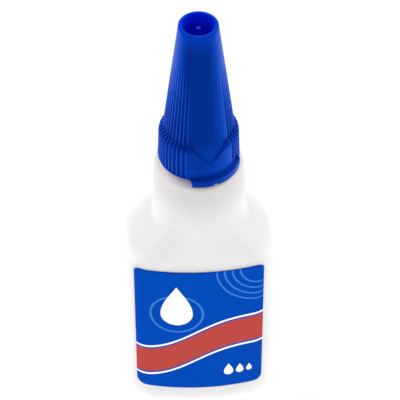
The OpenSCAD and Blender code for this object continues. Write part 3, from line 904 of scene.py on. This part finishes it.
def grained(name, shader_values, roughness, bump, grain_scale=GRAIN_SCALE, cloud_scale=CLOUD_SCALE):
    """Material whose roughness drifts between two limits with the cloud and whose skin the grain lifts.

    Gives the material, its node tree, its shader and the wire of the cloud. The bump is in metres.
    """
    made = bpy.data.materials.new(name)
    made.use_nodes = True
    tree = made.node_tree
    shader = tree.nodes["Principled BSDF"]
    for socket, value in shader_values.items():
        shader.inputs[socket].default_value = value
    grain = tree.nodes.new("ShaderNodeGroup")
    grain.node_tree = MOULDED_GRAIN
    grain.inputs["Grain Scale"].default_value = grain_scale
    grain.inputs["Cloud Scale"].default_value = cloud_scale
    cloud = Wire(tree, grain.outputs["Cloud"])
    low, high = roughness
    tree.links.new((cloud * (high - low) + low).socket, shader.inputs["Roughness"])
    lift = place_nodes(tree, "ShaderNodeBump", Strength=1.0, Distance=bump)
    tree.links.new(grain.outputs["Grain"], lift.inputs["Height"])
    tree.links.new(lift.outputs["Normal"], shader.inputs["Normal"])
    return made, tree, shader, cloud


def plastic(name, shader_values, shade, light, roughness, bump):
    """Moulded plastic: a grained material whose colour drifts between two limits with the cloud."""
    made, tree, shader, cloud = grained(name, shader_values, roughness, bump)
    tree.links.new(mixed(tree, cloud, shade, light), shader.inputs["Base Color"])
    return made


print("group", MOULDED_GRAIN.name, "has", len(MOULDED_GRAIN.nodes), "nodes")


# %% Shades over a finish
def colour_so_far(finish):
    """Node tree of a finish, the socket of its colour, and the wire's end that feeds it so far."""
    tree = finish.node_tree
    goal = tree.nodes["Principled BSDF"].inputs["Base Color"]
    return tree, goal, goal.links[0].from_socket


def shade_over(finish, attribute, colour, below=False):
    """Mix a colour over a finish where an attribute of the mesh is 1, or where it is 0 for below."""
    tree, goal, before = colour_so_far(finish)
    spot = tree.nodes.new("ShaderNodeAttribute")
    spot.attribute_name = attribute
    share = Wire(tree, spot.outputs["Fac"])
    pair = (colour, before) if below else (before, colour)
    tree.links.new(mixed(tree, share, *pair), goal)


def shade_above(finish, low, high, colour):
    """Mix a colour over a finish from one height up to another, in millimetres on the object."""
    tree, goal, before = colour_so_far(finish)
    place = tree.nodes.new("ShaderNodeTexCoord")
    parts = tree.nodes.new("ShaderNodeSeparateXYZ")
    tree.links.new(place.outputs["Object"], parts.inputs["Vector"])
    climb = Wire(tree, parts.outputs["Z"])
    share = ((climb - low * MM) * (1 / ((high - low) * MM))).clamped()
    tree.links.new(mixed(tree, share, before, colour), goal)


def painted_edge_sheen(finish, start, colour):
    """Painted highlight: mix a colour over a finish where the wall turns from the eye, less at the very
    edge: 4 x (1 - x).
    """
    tree, goal, before = colour_so_far(finish)
    away = Wire(tree, tree.nodes.new("ShaderNodeLayerWeight").outputs["Facing"])
    turned = ((away - start) * (1 / (1 - start))).clamped()
    share = turned * (turned * -1.0 + 1.0) * 4.0
    tree.links.new(mixed(tree, share, before, colour), goal)


def edge_gloss(finish, start, most):
    """Clear skin that begins to mirror where the wall turns away from the eye, up to a most weight."""
    tree = finish.node_tree
    away = Wire(tree, tree.nodes.new("ShaderNodeLayerWeight").outputs["Facing"])
    weight = (away - start).most(0.0).least(most)
    tree.links.new(weight.socket, tree.nodes["Principled BSDF"].inputs["Coat Weight"])


print("shades ready")

# %% [markdown]
# ## The plastics
# The bottle is milky: light enters the wall and comes out again nearby, which Subsurface does. The cap
# is dyed through and softly glossy. Its sheen stands for the light that glances off the ribs, and so
# does a lighter blue painted where its wall turns from the eye: a painted highlight.

# %% Milky plastic
PLASTIC_IOR = 1.5
BOTTLE_PLASTIC = plastic(
    "milky_plastic",
    {
        "IOR": PLASTIC_IOR,
        "Specular IOR Level": 0.3,
        "Subsurface Weight": 0.85,
        "Subsurface Radius": (1.0, 0.92, 0.9),
        "Subsurface Scale": 0.0045,
    },
    shade=(0.885, 0.81, 0.82),
    light=(0.935, 0.86, 0.87),
    roughness=(0.34, 0.46),
    bump=0.00002,
)
# painted shade: the collar is greyed towards the cap
shade_over(BOTTLE_PLASTIC, "hollow", (0.61, 0.58, 0.58))
bottle.data.materials.append(BOTTLE_PLASTIC)
print(BOTTLE_PLASTIC.name, "has", len(BOTTLE_PLASTIC.node_tree.nodes), "nodes")

# %% Blue plastic
CAP_PLASTIC = plastic(
    "blue_plastic",
    {
        "IOR": PLASTIC_IOR,
        "Specular IOR Level": 0.01,
        "Sheen Weight": 0.4,
        "Sheen Roughness": 0.3,
        "Sheen Tint": (0.0, 0.24, 1.0, 1.0),
        "Coat IOR": PLASTIC_IOR,
        "Coat Roughness": 0.2,
    },
    shade=(0.0, 0.020, 0.21),
    light=(0.0, 0.026, 0.255),
    roughness=(0.22, 0.32),
    bump=0.000012,
)
# painted light on the skirt
shade_over(CAP_PLASTIC, "skirt", (0.0, 0.027, 0.275))
# painted shade on the ledge above the skirt
shade_over(CAP_PLASTIC, "ledge", (0.0, 0.011, 0.165))
# painted shade: a darker blue in the grooves
shade_over(CAP_PLASTIC, "crest", (0.0, 0.012, 0.19), below=True)
# painted light: a lighter blue inside the notch
shade_over(CAP_PLASTIC, "painted_notch_light", (0.0, 0.034, 0.325))
# painted shade along the notch's edges
shade_over(CAP_PLASTIC, "painted_notch_edge_shade", (0.0, 0.022, 0.258))
# painted light towards the top of the cone
shade_over(CAP_PLASTIC, "glow", (0.0, 0.034, 0.40))
# painted highlight where the wall turns from the eye
painted_edge_sheen(CAP_PLASTIC, start=0.26, colour=(0.0, 0.054, 0.45))
# painted light: a much lighter blue inside the recess
shade_over(CAP_PLASTIC, "painted_recess_light", (0.0, 0.014, 0.66))
# painted shade: a darker blue along the lower edge
shade_over(CAP_PLASTIC, "lip", (0.0, 0.014, 0.22))
edge_gloss(CAP_PLASTIC, start=0.38, most=0.24)
cap.data.materials.append(CAP_PLASTIC)
print(CAP_PLASTIC.name, "has", len(CAP_PLASTIC.node_tree.nodes), "nodes")

# %% Pin, nozzle and liquid
PIN_TIP = 0.4
LIQUID_IOR = 1.45
# The pin's blue is lighter than the cap's: painted light that makes up for the shade in the deep recess.
PIN_PLASTIC = plastic(
    "pin_plastic",
    {"IOR": PLASTIC_IOR, "Specular IOR Level": 0.1},
    shade=(0.0, 0.010, 0.50),
    light=(0.0, 0.012, 0.56),
    roughness=(0.25, 0.35),
    bump=0.000008,
)
pin_top = box_mm("sealing_pin")[1][2]
# painted light and shade: the tip, where light falls, keeps a darker and greyer blue than the lightened
# sides
shade_above(PIN_PLASTIC, pin_top - PIN_TIP, pin_top, (0.008, 0.025, 0.36))
NOZZLE_PLASTIC = plastic(
    "natural_plastic",
    {"IOR": PLASTIC_IOR, "Specular IOR Level": 0.4},
    shade=(0.84, 0.84, 0.82),
    light=(0.9, 0.9, 0.89),
    roughness=(0.3, 0.42),
    bump=0.00001,
)
LIQUID = plastic(
    "clear_liquid",
    {"IOR": LIQUID_IOR, "Transmission Weight": 0.9},
    shade=(0.86, 0.88, 0.85),
    light=(0.93, 0.94, 0.92),
    roughness=(0.03, 0.06),
    bump=0.000002,
)
for node, finish in (("sealing_pin", PIN_PLASTIC), ("nozzle", NOZZLE_PLASTIC), ("adhesive", LIQUID)):
    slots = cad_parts[node].material_slots
    for slot in slots:
        slot.link = "DATA"
        slot.material = finish
    print(node, "has", len(slots), "slot of", finish.name)


# %% [markdown]
# ## The print
# The front label is a blue film with a red ribbon, white hairlines and a drop as its sign. An image
# could hold this, but a formula stays sharp at any size: every shape is a signed distance in
# millimetres on the flat label, and a distance below zero takes ink. The back label is pale film with a
# blue head, a blue foot and a thin red line.

# %% Inks and film
INK_SOFT = 0.07
BLUE_INK = (0.0, 0.055, 0.39)
RED_INK = (0.45, 0.06, 0.05)
PALE_INK = (0.86, 0.87, 0.88)
SKY_INK = (0.04, 0.18, 0.56)
FILM_GLOSS = 0.005
FILM_ROUGHNESS = (0.34, 0.46)
FILM_BUMP = 0.000006
FILM_GRAIN_SCALE = 1500.0
FILM_CLOUD_SCALE = 90.0


def inked(distance):
    """Wire that is 1 where a distance is below zero and 0 above it, with a soft edge."""
    return (distance * (-1 / INK_SOFT) + 0.5).clamped()


def film(name):
    """Satin film with a faint waviness, and two wires with the place on the flat label."""
    made, tree, shader, cloud = grained(
        name,
        {"IOR": PLASTIC_IOR, "Specular IOR Level": FILM_GLOSS},
        FILM_ROUGHNESS,
        FILM_BUMP,
        FILM_GRAIN_SCALE,
        FILM_CLOUD_SCALE,
    )
    spot = tree.nodes.new("ShaderNodeAttribute")
    spot.attribute_name = "print_place"
    parts = tree.nodes.new("ShaderNodeSeparateXYZ")
    tree.links.new(spot.outputs["Vector"], parts.inputs["Vector"])
    return made, tree, shader, cloud, Wire(tree, parts.outputs["X"]), Wire(tree, parts.outputs["Y"])


print("ink edges are", INK_SOFT, "mm soft")

# %% Ribbon
RIBBON_Y = 13.2
RIBBON_SLOPE = 0.34
RIBBON_SWING = 1.5
RIBBON_WAVE = 0.23
RIBBON_PHASE = 0.4
RIBBON_HALF = 3.6
HAIRLINE_AT = 4.35
HAIRLINE_HALF = 0.28

FRONT_PRINT, tree, shader, cloud, across, up = film("front_print")
swing = (across * RIBBON_WAVE + RIBBON_PHASE).wave() * RIBBON_SWING
off_ribbon = (up - (across * RIBBON_SLOPE + swing + RIBBON_Y)).size()
ribbon = off_ribbon - RIBBON_HALF
hairline = (off_ribbon - HAIRLINE_AT).size() - HAIRLINE_HALF
print("ribbon is", 2 * RIBBON_HALF, "mm high")

# %% Drops and rings
DROP_X, DROP_Y, DROP_R = -4.6, 23.4, 3.3
HALO_R = 5.4
SMALL_DROPS = ((6.2, 1.0), (8.6, 0.8), (10.6, 0.6))
SMALL_DROP_Y = 4.6
ARC_X, ARC_Y = 13.4, 36.0
ARC_RADII = (5.0, 6.6, 8.2, 9.8)
HALO_HALF = 0.24
ARC_HALF = 0.2
DROP_STRETCH = 2.5
FLANK_HOLLOW = 0.35


def from_point(x, y):
    """Wire with the distance from a point of the label."""
    return ((across - x) * (across - x) + (up - y) * (up - y)).root()


def drop_shape(x, y, r):
    """Wire with the distance to a drop: a round bulb, and above it two flanks that close in a point."""
    off = (across - x).size()
    climb = up - y
    rise = (climb * (1 / (DROP_STRETCH * r))).clamped()
    flank = (rise * rise * -1.0 + 1.0) * (rise * rise * -FLANK_HOLLOW + 1.0) * r
    taper = (off - flank).most(climb - DROP_STRETCH * r)
    bulb = from_point(x, y) - r
    return bulb + (taper - bulb) * climb.over(0.0)


drop = drop_shape(DROP_X, DROP_Y, DROP_R)
for x, r in SMALL_DROPS:
    drop = drop.least(drop_shape(x, SMALL_DROP_Y, r))
halo = (from_point(DROP_X, DROP_Y) - HALO_R).size() - HALO_HALF
for r in ARC_RADII:
    halo = halo.least((from_point(ARC_X, ARC_Y) - r).size() - ARC_HALF)
print(1 + len(SMALL_DROPS), "drops and", 1 + len(ARC_RADII), "rings")

# %% Ink the front
BLUE_DRIFT = 1.12
colour = mixed(tree, cloud, BLUE_INK, tuple(BLUE_DRIFT * part for part in BLUE_INK))
colour = mixed(tree, inked(halo), colour, SKY_INK)
colour = mixed(tree, inked(ribbon), colour, RED_INK)
colour = mixed(tree, inked(hairline), colour, PALE_INK)
colour = mixed(tree, inked(drop), colour, PALE_INK)
tree.links.new(colour, shader.inputs["Base Color"])
front_film.data.materials.append(FRONT_PRINT)
print(FRONT_PRINT.name, "has", len(tree.nodes), "nodes")

# %% Ink the back
HEAD_Y = 29.0
HEAD_LINE = 28.2
LINE_HALF = 0.35
FOOT_Y = 2.6
PALE_FILM = (0.66, 0.66, 0.67)
PALER_FILM = (0.71, 0.71, 0.72)
BACK_FILM, tree, shader, cloud, across, up = film("back_film")
head = up * -1.0 + HEAD_Y
line = (up - HEAD_LINE).size() - LINE_HALF
foot = up - FOOT_Y
colour = mixed(tree, cloud, PALE_FILM, PALER_FILM)
colour = mixed(tree, inked(head.least(foot)), colour, BLUE_INK)
colour = mixed(tree, inked(line), colour, RED_INK)
tree.links.new(colour, shader.inputs["Base Color"])
back_film.data.materials.append(BACK_FILM)
print(BACK_FILM.name, "has", len(tree.nodes), "nodes")


# %% [markdown]
# ## Floor, light and camera
# The part stands on a plain pale floor under soft studio light: a large panel high up at each side and
# a little behind, a weaker one in front, and an even sky. The floor glows like a light table. It turns
# nearly white for the camera but keeps the shadow. The camera looks down at about 46 degrees through a
# long lens, so the upright edges stay nearly parallel.

# %% Floor
FLOOR_HALF = 3.0
floor_mesh = bpy.data.meshes.new("floor")
floor_corners = [(-FLOOR_HALF, -FLOOR_HALF, 0), (FLOOR_HALF, -FLOOR_HALF, 0),
                 (FLOOR_HALF, FLOOR_HALF, 0), (-FLOOR_HALF, FLOOR_HALF, 0)]
floor_mesh.from_pydata(floor_corners, [], [(0, 1, 2, 3)])
floor = bpy.data.objects.new("floor", floor_mesh)
bpy.context.scene.collection.objects.link(floor)
print("floor is", 2 * FLOOR_HALF, "m wide")


# %% Finish of the floor
def looked_at(tree):
    """Wire that is 1 for rays that show the background: from the camera, mirrored or seen through."""
    path = tree.nodes.new("ShaderNodeLightPath")
    direct, mirrored, through = (
        Wire(tree, path.outputs[name]) for name in ("Is Camera Ray", "Is Glossy Ray", "Is Transmission Ray")
    )
    return direct.most(mirrored).most(through)


WHITENING = 0.85
TABLE_LIGHT = 1.65
TABLE_SHARE = 0.8
FLOOR_GREY = (0.9, 0.9, 0.9, 1)
WHITE = (1, 1, 1, 1)
floor_finish = bpy.data.materials.new("pale_floor")
floor_finish.use_nodes = True
tree = floor_finish.node_tree
tree.nodes.clear()
end = tree.nodes.new("ShaderNodeOutputMaterial")
matt = place_nodes(tree, "ShaderNodeBsdfDiffuse", Color=FLOOR_GREY)
glow = place_nodes(tree, "ShaderNodeEmission", Color=WHITE)
blend = tree.nodes.new("ShaderNodeMixShader")
seen = looked_at(tree)
tree.links.new((seen * (1 - TABLE_LIGHT) + TABLE_LIGHT).socket, glow.inputs["Strength"])
tree.links.new((seen * (WHITENING - TABLE_SHARE) + TABLE_SHARE).socket, blend.inputs[0])
tree.links.new(matt.outputs[0], blend.inputs[1])
tree.links.new(glow.outputs[0], blend.inputs[2])
tree.links.new(blend.outputs[0], end.inputs["Surface"])
floor_mesh.materials.append(floor_finish)
print("floor whitened by", WHITENING)

# %% Sky
SKY_STRENGTH = 0.5
world = bpy.data.worlds.new("sky")
bpy.context.scene.world = world
world.use_nodes = True
tree = world.node_tree
sky = tree.nodes["Background"]
sky.inputs["Color"].default_value = WHITE
seen = looked_at(tree) * (1 - SKY_STRENGTH) + SKY_STRENGTH
tree.links.new(seen.socket, sky.inputs["Strength"])
print("sky lights with", SKY_STRENGTH)


# %% Softboxes
def softbox(name, place, aim, size, watts):
    """Rectangular soft light at a place, turned towards an aim."""
    lamp = bpy.data.lights.new(name, "AREA")
    lamp.shape = "RECTANGLE"
    lamp.size, lamp.size_y = size
    lamp.energy = watts
    light = bpy.data.objects.new(name, lamp)
    light.location = place
    light.rotation_mode = "QUATERNION"
    light.rotation_quaternion = (Vector(aim) - Vector(place)).to_track_quat("-Z", "Y")
    bpy.context.scene.collection.objects.link(light)
    print(name, "gives", watts, "W")


LIGHT_AIM = (0, 0, 0.05)
softbox("left_softbox", place=(-0.5, 0.28, 0.7), aim=LIGHT_AIM, size=(0.5, 0.7), watts=4.6)
softbox("right_softbox", place=(0.5, 0.28, 0.7), aim=LIGHT_AIM, size=(0.5, 0.7), watts=4.6)
softbox("front_softbox", place=(0, -0.75, 0.4), aim=LIGHT_AIM, size=(0.7, 0.5), watts=1.7)

# %% Camera
CAMERA_TARGET = Vector((0, 0, 0.0492))
CAMERA_AIM = Vector((0.00023, 0, 0.0527))
CAMERA_DISTANCE = 0.45
CAMERA_AZIMUTH = np.radians(-3.0)
CAMERA_ELEVATION = np.radians(46.06)
CAMERA_ROLL = np.radians(-0.12)
CAMERA_LENS = 201.0
SENSOR = 36.0

back = Vector((
    np.sin(CAMERA_AZIMUTH) * np.cos(CAMERA_ELEVATION),
    -np.cos(CAMERA_AZIMUTH) * np.cos(CAMERA_ELEVATION),
    np.sin(CAMERA_ELEVATION),
))
lens = bpy.data.cameras.new("camera")
lens.lens = CAMERA_LENS
lens.sensor_width = SENSOR
camera = bpy.data.objects.new("camera", lens)
camera.location = CAMERA_TARGET + CAMERA_DISTANCE * back
look = (CAMERA_AIM - camera.location).to_track_quat("-Z", "Y").to_matrix()
turn = Matrix.Rotation(CAMERA_ROLL, 3, "Z")
camera.rotation_mode = "QUATERNION"
camera.rotation_quaternion = (look @ turn).to_quaternion()
bpy.context.scene.collection.objects.link(camera)
bpy.context.scene.camera = camera
bpy.context.scene.view_settings.view_transform = "Standard"
print("camera at", [round(part, 3) for part in camera.location])
